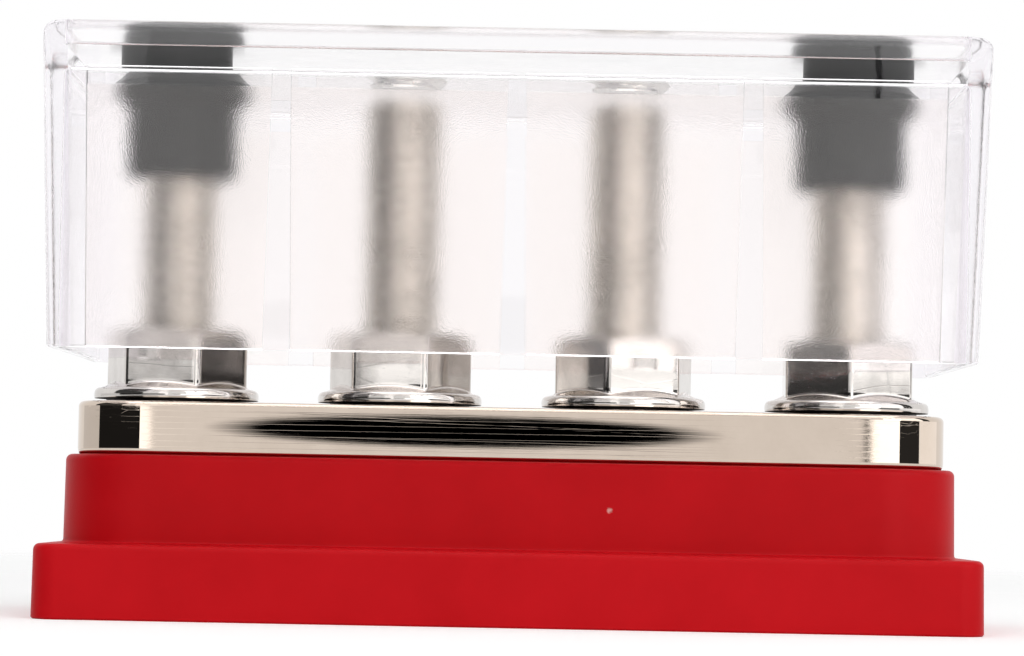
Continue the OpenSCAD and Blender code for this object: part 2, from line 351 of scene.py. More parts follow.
class Graph:
    """Adds and links nodes in one node tree."""

    def __init__(self, tree: NodeTree) -> None:
        """Keeps the tree that nodes are added to."""
        self.tree = tree

    def add(self, kind: str, settings: dict | None = None, **inputs: object) -> Node:
        """Adds a node.

        Args:
            kind: the node's type name.
            settings: attributes of the node, such as its operation.
            inputs: values or output sockets by input name, with _ for a space.

        Returns:
            The node.
        """
        node = self.tree.nodes.new(kind)
        for name, value in (settings or {}).items():
            setattr(node, name, value)
        return self.set(node, **inputs)

    def set(self, node: Node, **inputs: object) -> Node:
        """Feeds values or output sockets to a node's inputs by name, with _ for a space."""
        for name, value in inputs.items():
            self.feed(node.inputs[name.replace("_", " ")], value)
        return node

    def feed(self, socket: NodeSocket, value: object) -> None:
        """Links an output socket to an input, or sets the input's value."""
        if isinstance(value, NodeSocket):
            self.tree.links.new(value, socket)
        else:
            socket.default_value = value

    def operate(self, kind: str, operation: str, values: Sequence[object]) -> Node:
        """Adds a Math or Vector Math node.

        Args:
            kind: the node's type name.
            operation: what it does.
            values: its operands.

        Returns:
            The node.
        """
        node = self.add(kind, {"operation": operation})
        for socket, value in zip(node.inputs, values):
            self.feed(socket, value)
        return node

    def math(self, operation: str, *values: object) -> NodeSocket:
        """Result of a Math node with these operands."""
        return self.operate("ShaderNodeMath", operation, values).outputs[0]

    def vector(self, operation: str, *values: object) -> NodeSocket:
        """Vector result of a Vector Math node with these operands."""
        return self.operate("ShaderNodeVectorMath", operation, values).outputs["Vector"]

    def measure(self, operation: str, *values: object) -> NodeSocket:
        """Number that a Vector Math node gives for these operands, such as a length."""
        return self.operate("ShaderNodeVectorMath", operation, values).outputs["Value"]

    def remap(
        self, value: object, low: float, high: float, to_low: float = 0.0, to_high: float = 1.0,
    ) -> NodeSocket:
        """Clamped linear change of range."""
        node = self.add(
            "ShaderNodeMapRange",
            Value=value, From_Min=low, From_Max=high, To_Min=to_low, To_Max=to_high,
        )
        return node.outputs["Result"]

    def mix(self, share: object, first: object, second: object) -> NodeSocket:
        """Mix of two colours.

        Args:
            share: share of the second colour.
            first: the first colour.
            second: the second colour.

        Returns:
            The mixed colour.
        """
        node = self.add("ShaderNodeMix", {"data_type": "RGBA"})
        self.feed(node.inputs["Factor"], share)
        self.feed(node.inputs[6], first)
        self.feed(node.inputs[7], second)
        return node.outputs[2]

    def millimetres(self) -> NodeSocket:
        """Place on the piece in millimetres, in the part's own frame."""
        place = self.add("ShaderNodeTexCoord")
        return self.vector("MULTIPLY", place.outputs["Object"], (1 / MM,) * 3)

    def noise(self, place: object, size: object, detail: float, rough: float = 0.5) -> NodeSocket:
        """Noise with blotches of about a size.

        Args:
            place: place on the piece.
            size: size of a blotch, in the unit of the place.
            detail: number of finer layers.
            rough: strength of the finer layers.

        Returns:
            The noise, from 0 to 1.
        """
        scale = self.math("DIVIDE", 1.0, size)
        node = self.add("ShaderNodeTexNoise", Vector=place, Scale=scale, Detail=detail, Roughness=rough)
        return node.outputs["Fac"]

    def spots(
        self, place: NodeSocket, size: NodeSocket, share: NodeSocket, core: float, edge: float,
    ) -> NodeSocket:
        """Round spots in a share of the cells of a random pattern.

        Args:
            place: place on the piece.
            size: size of a cell in millimetres.
            share: share of the cells that have a spot.
            core: distance from a cell's point where the spot starts to fade, in cells.
            edge: distance where it ends.

        Returns:
            1 on the spots, 0 beside them.
        """
        scale = self.math("DIVIDE", 1.0, size)
        cells = self.add("ShaderNodeTexVoronoi", Vector=place, Scale=scale, Randomness=1.0)
        chance = self.add("ShaderNodeSeparateColor", Color=cells.outputs["Color"])
        chosen = self.math("LESS_THAN", chance.outputs[0], share)
        return self.math("MULTIPLY", chosen, self.remap(cells.outputs["Distance"], core, edge, 1.0, 0.0))

    def bump(self, height: NodeSocket, depth: float = 1.0) -> NodeSocket:
        """Normal of a bump whose full height is a depth in millimetres."""
        node = self.add("ShaderNodeBump", Strength=1.0, Distance=depth * MM, Height=height)
        return node.outputs["Normal"]

    def show_faded(self, solid: NodeSocket, share: NodeSocket) -> None:
        """Makes the surface a shader that turns clear.

        Args:
            solid: output of the shader.
            share: how clear the surface is, from 0 to 1.
        """
        fade = self.add("ShaderNodeMixShader", Fac=share)
        self.feed(fade.inputs[1], solid)
        self.feed(fade.inputs[2], self.add("ShaderNodeBsdfTransparent").outputs[0])
        self.feed(self.tree.nodes["Material Output"].inputs["Surface"], fade.outputs[0])


def effect_group(
    name: str, inputs: dict[str, float], outputs: Sequence[str],
) -> tuple[Graph, Node, Node]:
    """An empty shader node group with float sockets.

    Args:
        name: name of the group.
        inputs: input names and their default values.
        outputs: output names.

    Returns:
        A graph on the group, its input node and its output node.
    """
    tree = bpy.data.node_groups.new(name, "ShaderNodeTree")
    for socket, value in inputs.items():
        made = tree.interface.new_socket(name=socket, in_out="INPUT", socket_type="NodeSocketFloat")
        made.default_value = value
    for socket in outputs:
        tree.interface.new_socket(name=socket, in_out="OUTPUT", socket_type="NodeSocketFloat")
    graph = Graph(tree)
    return graph, graph.add("NodeGroupInput"), graph.add("NodeGroupOutput")


def surface_grain() -> NodeTree:
    """Fine grain and slow blotches of a moulded surface, shared by the plastics and the rubber.

    Returns:
        A node group with a fine Height, a slow Blotch and rare Specks.
    """
    graph, given, made = effect_group(
        "surface_grain",
        {"Grain Size": 0.3, "Blotch Size": 14.0, "Speck Size": 1.6, "Speck Share": 0.2},
        ("Height", "Blotch", "Specks"),
    )
    place = graph.millimetres()
    height = graph.noise(place, given.outputs["Grain Size"], detail=2.0)
    blotch = graph.noise(place, given.outputs["Blotch Size"], detail=3.0, rough=0.55)
    specks = graph.spots(
        place, given.outputs["Speck Size"], given.outputs["Speck Share"], core=0.03, edge=0.09,
    )
    graph.set(made, Height=height, Blotch=blotch, Specks=specks)
    return graph.tree


def metal_marks() -> NodeTree:
    """Marks of plated or plain metal, shared by the bar, the nuts and the studs.

    Returns:
        A node group with Streaks along X, round Pits, hair Scratches and slow Clouds.
    """
    graph, given, made = effect_group(
        "metal_marks",
        {
            "Streak Length": 20.0, "Streak Width": 0.12, "Pit Size": 1.0, "Pit Share": 0.25,
            "Cloud Size": 6.0,
        },
        ("Streaks", "Pits", "Scratches", "Clouds"),
    )
    wander_reach, hair_width = 0.6, 0.02
    place = graph.millimetres()
    across = graph.math("DIVIDE", 1.0, given.outputs["Streak Width"])
    along = graph.math("DIVIDE", 1.0, given.outputs["Streak Length"])
    stretch = graph.add("ShaderNodeCombineXYZ", X=along, Y=across, Z=across)
    drawn = graph.vector("MULTIPLY", place, stretch.outputs[0])
    streaks = graph.noise(drawn, size=1.0, detail=4.0, rough=0.6)
    pits = graph.spots(
        place, given.outputs["Pit Size"], given.outputs["Pit Share"], core=0.05, edge=0.16,
    )
    wander = graph.add("ShaderNodeTexNoise", Vector=place, Scale=0.35, Detail=2.0, Roughness=0.5)
    drift = graph.vector("MULTIPLY", wander.outputs["Color"], (wander_reach,) * 3)
    bent = graph.vector("ADD", drawn, drift)
    hairs = graph.add("ShaderNodeTexVoronoi", {"feature": "DISTANCE_TO_EDGE"}, Vector=bent, Scale=0.1)
    scratches = graph.remap(hairs.outputs["Distance"], 0.0, hair_width, 1.0, 0.0)
    clouds = graph.noise(place, given.outputs["Cloud Size"], detail=4.0, rough=0.6)
    graph.set(made, Streaks=streaks, Pits=pits, Scratches=scratches, Clouds=clouds)
    return graph.tree


def shader_material(name: str, kind: str, **inputs: object) -> tuple[Graph, Node, Material]:
    """A material with one shader.

    Args:
        name: name of the material.
        kind: type name of the shader node.
        inputs: constant values of the shader's sockets, with _ for a space.

    Returns:
        A graph on the material, the shader node and the material.
    """
    material = bpy.data.materials.new(name)
    material.use_nodes = True
    material.node_tree.nodes.clear()
    graph = Graph(material.node_tree)
    shader = graph.add(kind, None, **inputs)
    graph.add("ShaderNodeOutputMaterial", Surface=shader.outputs[0])
    return graph, shader, material


@dataclass(frozen=True)
class RedMoulding:
    """Satin red plastic with faint mottling, tiny pale specks and one pale chip in the block's front."""

    grain: NodeTree
    colour: Colour = (0.66, 0.0050, 0.0110, 1.0)
    deep: Colour = (0.59, 0.0036, 0.0082, 1.0)
    fleck: Colour = (0.86, 0.45, 0.40, 1.0)
    fleck_share: float = 0.5
    chip_at: Point = (11.0, -14.0, 12.75)
    chip_size: float = 0.55
    chip_edge: float = 0.25
    chip_ragged: float = 0.9
    chip_depth: float = 4.0
    low_rough: float = 0.36
    high_rough: float = 0.46
    grain_depth: float = 0.012

    def build(self) -> Material:
        """Makes the material."""
        graph, shader, material = shader_material(
            "red_satin_plastic", PRINCIPLED, IOR=1.5, Specular_IOR_Level=0.07,
        )
        shared = graph.add(
            "ShaderNodeGroup", {"node_tree": self.grain},
            Grain_Size=0.35, Blotch_Size=11.0, Speck_Size=3.2, Speck_Share=0.05,
        )
        blotch = shared.outputs["Blotch"]
        place = graph.millimetres()
        body = graph.mix(graph.remap(blotch, *BLOTCH_RANGE), self.deep, self.colour)
        ragged = graph.math("MULTIPLY", graph.noise(place, size=0.5, detail=2.0), self.chip_ragged)
        reach = graph.math("ADD", graph.measure("DISTANCE", place, self.chip_at), ragged)
        chip = graph.remap(reach, self.chip_size, self.chip_size + self.chip_edge, 1.0, 0.0)
        specks = graph.math("MULTIPLY", shared.outputs["Specks"], self.fleck_share)
        marks = graph.math("MAXIMUM", specks, chip)
        dent = graph.math("MULTIPLY", chip, self.chip_depth)
        height = graph.math("SUBTRACT", shared.outputs["Height"], dent)
        graph.set(
            shader, Base_Color=graph.mix(marks, body, self.fleck),
            Roughness=graph.remap(blotch, *BLOTCH_RANGE, self.low_rough, self.high_rough),
            Normal=graph.bump(height, self.grain_depth),
        )
        return material


@dataclass(frozen=True)
class PlatedMetal:
    """Bright plating over drawn or forged metal."""

    name: str
    marks: NodeTree
    colour: Colour
    tarnish: Colour
    smooth: float
    worn: float
    streak_depth: float
    streak_length: float = 3.0
    streak_width: float = 0.4
    pit_size: float = 0.4
    pit_share: float = 0.4
    pit_depth: float = 0.008
    cloud_tarnish: float = 0.6
    cloud_wear: float = 0.7
    scratch_wear: float = 0.5

    def build(self) -> Material:
        """Makes the material."""
        graph, shader, material = shader_material(self.name, PRINCIPLED, Metallic=1.0)
        shared = graph.add(
            "ShaderNodeGroup", {"node_tree": self.marks},
            Streak_Length=self.streak_length, Streak_Width=self.streak_width,
            Pit_Size=self.pit_size, Pit_Share=self.pit_share,
        )
        pits, scratches = shared.outputs["Pits"], shared.outputs["Scratches"]
        cloud = graph.remap(shared.outputs["Clouds"], *CLOUD_RANGE)
        dull = graph.math("MAXIMUM", graph.math("MULTIPLY", cloud, self.cloud_tarnish), pits)
        clouded = graph.math("MULTIPLY", cloud, self.cloud_wear)
        wear = graph.math("ADD", clouded, graph.math("MULTIPLY", scratches, self.scratch_wear))
        lines = graph.math("MULTIPLY", shared.outputs["Streaks"], self.streak_depth)
        holes = graph.math("MULTIPLY", pits, self.pit_depth)
        hairs = graph.math("MULTIPLY", scratches, self.streak_depth)
        height = graph.math("SUBTRACT", graph.math("SUBTRACT", lines, holes), hairs)
        graph.set(
            shader, Base_Color=graph.mix(dull, self.colour, self.tarnish),
            Roughness=graph.remap(wear, 0.0, 1.0, self.smooth, self.worn), Normal=graph.bump(height),
        )
        return material


@dataclass(frozen=True)
class ClearPlastic:
    """Clear plastic with a polished, frosted, satin or hazy surface."""

    name: str
    grain: NodeTree
    tint: Colour
    low_rough: float
    high_rough: float
    grain_size: float
    grain_depth: float
    clarity: float = 1.0
    index: float = 1.58

    def build(self) -> Material:
        """Makes the material."""
        graph, shader, material = shader_material(
            self.name, PRINCIPLED,
            IOR=self.index, Transmission_Weight=self.clarity, Base_Color=self.tint,
        )
        shared = graph.add(
            "ShaderNodeGroup", {"node_tree": self.grain}, Grain_Size=self.grain_size, Blotch_Size=9.0,
        )
        rough = graph.remap(shared.outputs["Blotch"], *BLOTCH_RANGE, self.low_rough, self.high_rough)
        normal = graph.bump(shared.outputs["Height"], self.grain_depth)
        graph.set(shader, Roughness=rough, Normal=normal)
        return material


@dataclass(frozen=True)
class BlackRubber:
    """Smooth black rubber with a little bloom."""

    grain: NodeTree
    colour: Colour = (0.003, 0.003, 0.0035, 1.0)
    bloom: Colour = (0.009, 0.009, 0.0095, 1.0)
    low_rough: float = 0.34
    high_rough: float = 0.46
    grain_depth: float = 0.01

    def build(self) -> Material:
        """Makes the material."""
        graph, shader, material = shader_material(
            "black_rubber", PRINCIPLED, IOR=1.5, Specular_IOR_Level=0.12,
        )
        shared = graph.add(
            "ShaderNodeGroup", {"node_tree": self.grain}, Grain_Size=0.25, Blotch_Size=4.0,
        )
        blotch = shared.outputs["Blotch"]
        graph.set(
            shader, Base_Color=graph.mix(graph.remap(blotch, *CLOUD_RANGE), self.colour, self.bloom),
            Roughness=graph.remap(blotch, *BLOTCH_RANGE, self.low_rough, self.high_rough),
            Normal=graph.bump(shared.outputs["Height"], self.grain_depth),
        )
        return material


@dataclass
class Base:
    """Red base: a plate with a block on it, a seat for the bar and cored cells underneath."""

    stud_x: Sequence[float]
    finish: Material
    node: str = "base"
    plate_h: float = 8.1
    plate_corner_r: float = 3.0
    plate_edge_r: float = 0.7
    plate_draft: float = 0.1
    foot_edge: float = 0.2
    block_lip: float = 1.1
    block_edge_r: float = 0.7
    block_draft: float = 0.1
    block_fillet: float = 0.35
    seat_clear: float = 0.15
    seat_edge_r: float = 0.12
    bar_corner_r: float = 8.0
    floor_t: float = 4.0
    pocket_flats: float = 14.69
    stud_hole_r: float = 4.8125
    screw_d: float = 5.0
    screw_end: float = 6.8
    screw_side: float = 4.8
    core_wall: float = 2.5
    core_rib: float = 1.8
    flange_t: float = 3.0
    corner_steps: int = 20
    edge_steps: int = 7

    def __post_init__(self) -> None:
        """Reads the boxes of the base and of the bar in its seat."""
        self.low, self.high = node_box(self.node)
        self.bar_low, self.bar_high = node_box("bus_bar")
        self.head_seat = self.bar_low[2] - self.floor_t

    def rings(self) -> list[Ring]:
        """Levels of the outside from the foot to the floor of the bar's seat."""
        steps, top = self.edge_steps, self.high[2]
        plate_size = self.high - self.low
        seat_size = self.bar_high - self.bar_low + 2 * self.seat_clear
        plate = Ring(0.0, plate_size[0], plate_size[1], self.plate_corner_r)
        seat = Ring(self.bar_low[2], seat_size[0], seat_size[1], self.bar_corner_r + self.seat_clear)
        block = seat.inset(-self.block_lip - self.block_draft, self.plate_h)
        return [
            plate.inset(self.foot_edge, 0.0),
            plate.inset(0.0, self.foot_edge),
            *plate.inset(self.plate_draft, 0.0).closing(self.plate_edge_r, self.plate_h, steps),
            *block.opening(self.block_fillet, self.plate_h, steps, side=-1),
            *block.inset(self.block_draft, top).closing(self.block_edge_r, top, steps),
            *seat.opening(self.seat_edge_r, top, steps, side=-1, up=-1),
            seat,
        ]

    @staticmethod
    def cell_pair(x0: float, x1: float, near: float, far: float, top: float) -> list[tuple]:
        """Cutters of two cells from near to far, one on each side of the row of studs."""
        return [
            outline_prism(box_outline(x0, y0, x1, y1), -CUT_PAST, top)
            for y0, y1 in ((-far, -near), (near, far))
        ]

    def pockets(self) -> Object:
        """Cutters of the stud heads' pockets, the cored cells and the screw holes, in one object."""
        stud_x = self.stud_x
        bar_half = (self.bar_high[1] - self.bar_low[1]) / 2
        block_half = bar_half + self.seat_clear + self.block_lip + self.block_draft
        pitch = stud_x[1] - stud_x[0]
        cell_w = pitch - self.pocket_flats - 2 * self.core_wall
        corner = np.radians(np.arange(30, 390, 60))
        reach = self.pocket_flats / 2 / math.cos(math.radians(30))
        hexagon = np.column_stack((reach * np.cos(corner), reach * np.sin(corner)))
        shapes = [outline_prism(hexagon + (x, 0.0), -CUT_PAST, self.head_seat) for x in stud_x]
        rib_half, inside = self.core_rib / 2, block_half - self.core_wall
        for x in np.array(stud_x[:-1]) + pitch / 2:
            x0, x1 = x - cell_w / 2, x + cell_w / 2
            shapes += self.cell_pair(x0, x1, rib_half, inside, self.head_seat)
        cells = 2 * (len(stud_x) - 1)
        plate_inside, ceiling = self.high[1] - self.core_wall, self.plate_h - self.flange_t
        for i in range(cells):
            x0 = (i - cells / 2) * pitch / 2 + rib_half
            x1 = x0 + pitch / 2 - self.core_rib
            shapes += self.cell_pair(x0, x1, block_half, plate_inside, ceiling)
        screw_x, screw_y = self.high[0] - self.screw_end, self.high[1] - self.screw_side
        for x in (-screw_x, screw_x):
            for y in (-screw_y, screw_y):
                screw = circle_outline(x, y, self.screw_d / 2)
                shapes.append(outline_prism(screw, -CUT_PAST, self.plate_h + CUT_PAST))
        return prisms("pockets", shapes)

    def build(self) -> None:
        """Makes the base and puts it in its place."""
        piece = loft("base_moulding", self.rings(), self.corner_steps)
        cut(piece, self.pockets())
        drill(piece, self.stud_x, self.stud_hole_r, self.head_seat, self.bar_low[2])
        shade(piece, sharp_degrees=30)
        fit(piece, self.node, Body.BASE.value, Slot.BASE, self.finish)


@dataclass
class Bar:
    """Thick plated bar with round corners and soft edges."""

    stud_x: Sequence[float]
    finish: Material
    node: str = "bus_bar"
    corner_r: float = 8.0
    edge_r: float = 0.6
    foot_edge_r: float = 1.1
    hole_r: float = 4.8125
    corner_steps: int = 40
    edge_steps: int = 8

    def build(self) -> None:
        """Makes the bar and puts it in its place."""
        low, high = node_box(self.node)
        outline = Ring(low[2], high[0] - low[0], high[1] - low[1], self.corner_r)
        rings = outline.opening(self.foot_edge_r, low[2], self.edge_steps)
        rings += outline.closing(self.edge_r, high[2], self.edge_steps)
        piece = loft("plated_bar", rings, self.corner_steps)
        drill(piece, self.stud_x, self.hole_r, low[2], high[2])
        shade(piece, sharp_degrees=35)
        fit(piece, self.node, Body.BASE.value, Slot.BAR, self.finish)


@dataclass
class Stud:
    """Hex-headed stud with a rolled 16-per-inch thread."""

    node: str
    head_seat: float
    finish: Material
    thread_r: float = 4.7625
    thread_pitch: float = 1.5875
    thread_depth: float = 0.95
    crest_share: float = 0.16
    flank_share: float = 0.66
    flank_round: float = 0.35
    thread_foot: float = 2.0
    end_chamfer: float = 1.0
    end_gap: float = 1e-6
    head_flats: float = 14.29
    head_face_d: float = 13.7
    face_inset: float = 0.6
    chamfer_h: float = 0.9
    chamfer_rows: int = 6
    around: int = 72
    rows_per_turn: int = 12

    def thread_radius(self, angle: np.ndarray, z: float) -> np.ndarray:
        """Radius of the thread at a height.

        Args:
            angle: angles around the axis.
            z: height.

        Returns:
            One radius for each angle.
        """
        phase = (z / self.thread_pitch - angle / (2 * math.pi)) % 1.0
        off_crest = np.abs(phase - 0.5) * 2
        flank = np.clip((off_crest - self.crest_share) / self.flank_share, 0.0, 1.0)
        rounded = flank * flank * (3 - 2 * flank)
        soft = rounded * self.flank_round + flank * (1 - self.flank_round)
        return self.thread_r - self.thread_depth * soft

    def hex_radius(self, angle: np.ndarray) -> np.ndarray:
        """Radius of the hex head, with its flats towards +X and -X."""
        sector = (angle + math.pi / 6) % (math.pi / 3) - math.pi / 6
        return self.head_flats / 2 / np.cos(sector)

    def build(self) -> None:
        """Makes the stud, with its head's upper face on head_seat, and puts it in its place."""
        low, high = node_box(self.node)
        stud_r, face_r = self.thread_r, self.head_face_d / 2
        angle = np.linspace(0.0, 2 * math.pi, self.around, endpoint=False)
        hexagon = self.hex_radius(angle)
        rows = [(face_r - self.face_inset, low[2])]
        for rise in np.linspace(0.0, self.chamfer_h, self.chamfer_rows):
            rows.append((np.minimum(hexagon, face_r + rise / HEX_CHAMFER_SLOPE), low[2] + rise))
        rows += [(hexagon, self.head_seat), (stud_r, self.head_seat)]
        start = self.head_seat + self.thread_foot
        step = self.thread_pitch / self.rows_per_turn
        for z in np.arange(start, high[2] - self.end_gap, step):
            rise = np.clip((z - start) / self.thread_pitch, 0.0, 1.0)
            radius = stud_r + (self.thread_radius(angle, z) - stud_r) * rise
            rows.append((np.minimum(radius, stud_r - self.end_chamfer + (high[2] - z)), z))
        rows.append((stud_r - self.end_chamfer, high[2]))
        points = rows_around(angle, rows, ((low[0] + high[0]) / 2, 0.0))
        piece = mesh_object(f"threaded_{self.node}", points, capped_faces(len(rows), self.around))
        shade(piece, sharp_degrees=40, even=False)
        fit(piece, self.node, Body.BASE.value, Slot.STUD, self.finish)


@dataclass
class FlangeNut:
    """Hex nut on a round flange, with worn corners and a slightly wavy forged rim."""

    node: str
    turn: float
    finish: Material
    # Near-black material for the groove under the flange: painted shade.
    groove_painted_shade: Material
    flats: float = 14.29
    rim_r: float = 0.85
    rim_flat: float = 2.6
    slit_h: float = 0.4
    slit_depth: float = 1.4
    cone_h: float = 2.5
    cone_bite: float = 0.4
    cone_dive: float = 1.0
    blend: float = 0.12
    blend_limit: float = 30.0
    blend_h: float = 0.4
    crown_h: float = 1.0
    top_d: float = 13.7
    bore_r: float = 4.8125
    bore_chamfer: float = 0.6
    foot_chamfer: float = 0.3
    corner_wear: float = 46.0
    rim_wave: float = 0.05
    second_wave: float = 0.6
    wave_lobes: tuple[int, int] = (5, 9)
    sector_steps: int = 24
    rim_levels: int = 15
    cone_levels: int = 22
    side_levels: int = 8
    crown_levels: int = 14

    def __post_init__(self) -> None:
        """Reads the nut's box."""
        self.low, self.high = node_box(self.node)
        self.height = self.high[2] - self.low[2]
        self.flange_r = (self.high[0] - self.low[0]) / 2

    def angles(self) -> np.ndarray:
        """Angles around the nut, closer together at the corners of the hex."""
        share = np.linspace(-1.0, 1.0, self.sector_steps, endpoint=False)
        sector = np.radians(30) * np.sin(share * math.pi / 2)
        return np.concatenate([sector + k * math.pi / 3 for k in range(6)])

    def levels(self) -> list[float]:
        """Heights of the rows on the outside, above the groove at the foot."""
        cone_end, crown = self.cone_h + self.blend_h, self.height - self.crown_h
        runs = [self.rim_r * (1 - np.cos(np.linspace(0.0, math.pi, self.rim_levels)))]
        for start, end, count in (
            (2 * self.rim_r, cone_end, self.cone_levels),
            (cone_end, crown, self.side_levels),
            (crown, self.height, self.crown_levels),
        ):
            runs.append(np.linspace(start, end, count)[1:])
        return [z for z in np.concatenate(runs) if z >= self.slit_h]

    def hex_radius(self, angle: np.ndarray) -> np.ndarray:
        """Radius of the hex, its flats towards +X and -X, with rounded corners."""
        sides = np.array([np.abs(np.cos(angle - k * math.pi / 3)) for k in range(3)])
        return self.flats / 2 / np.power((sides ** self.corner_wear).sum(0), 1 / self.corner_wear)

    def outside(self, angle: np.ndarray, z: float) -> np.ndarray:
        """Radius of the outside at a height.

        Args:
            angle: angles around the nut.
            z: height above the nut's foot.

        Returns:
            One radius for each angle.
        """
        ring_r = self.flange_r - self.rim_r
        cone_top = self.flats / 2 - self.cone_bite
        if z <= 2 * self.rim_r:
            off_middle = min(abs(z / self.rim_r - 1.0), 1.0)
            flange = ring_r + self.rim_r * (1.0 - off_middle ** self.rim_flat) ** (1.0 / self.rim_flat)
        else:
            share = (z - 2 * self.rim_r) / (self.cone_h - 2 * self.rim_r)
            flange = max(ring_r + (cone_top - ring_r) * share, cone_top - self.cone_dive)
        chamfer = self.top_d / 2 + (self.height - z) / HEX_CHAMFER_SLOPE
        hexagon = np.minimum(self.hex_radius(angle), chamfer)
        apart = np.clip((hexagon - flange) / self.blend, -self.blend_limit, self.blend_limit)
        return flange + self.blend * np.log1p(np.exp(apart))

    def build(self) -> None:
        """Makes the nut, with painted shade on the groove under its flange, and puts it in its place."""
        slit_r = self.flange_r - self.slit_depth
        angle = self.angles()
        spun = angle + math.radians(self.turn)
        few, many = self.wave_lobes
        wave = np.sin(few * spun + self.turn) + self.second_wave * np.sin(many * spun + 2 * self.turn)
        rows = [(self.bore_r + self.foot_chamfer, 0.0), (slit_r, 0.0), (slit_r, self.slit_h)]
        painted_shade_faces = len(rows) * len(angle)
        for z in self.levels():
            share = max(0.0, 1.0 - z / self.cone_h)
            worn = self.rim_wave * share * (1 + self.second_wave + wave) / 2
            rows.append((self.outside(angle, z) - worn, z))
        rows.append((self.bore_r + self.bore_chamfer, self.height))
        rows.append((self.bore_r, self.height - self.bore_chamfer))
        rows.append((self.bore_r, self.foot_chamfer))
        centre = (self.low + self.high) / 2
        points = rows_around(spun, [(r, self.low[2] + z) for r, z in rows], centre[:2])
        faces = strip_faces(len(rows), len(angle), closed=True)
        piece = mesh_object(f"forged_{self.node}", points, faces)
        shade(piece, sharp_degrees=50, even=False)
        fit(piece, self.node, self.node, Slot.NUT, self.finish, self.groove_painted_shade)
        # The foot and groove faces get near-black metal: painted shade under the flange.
        for face in piece.data.polygons[:painted_shade_faces]:
            face.material_index = 1


class CoverFinish(IntEnum):
    """Material numbers on the cover."""

    CLEAR = 0
    FROSTED = 1
    SATIN = 2
    HAZY = 3


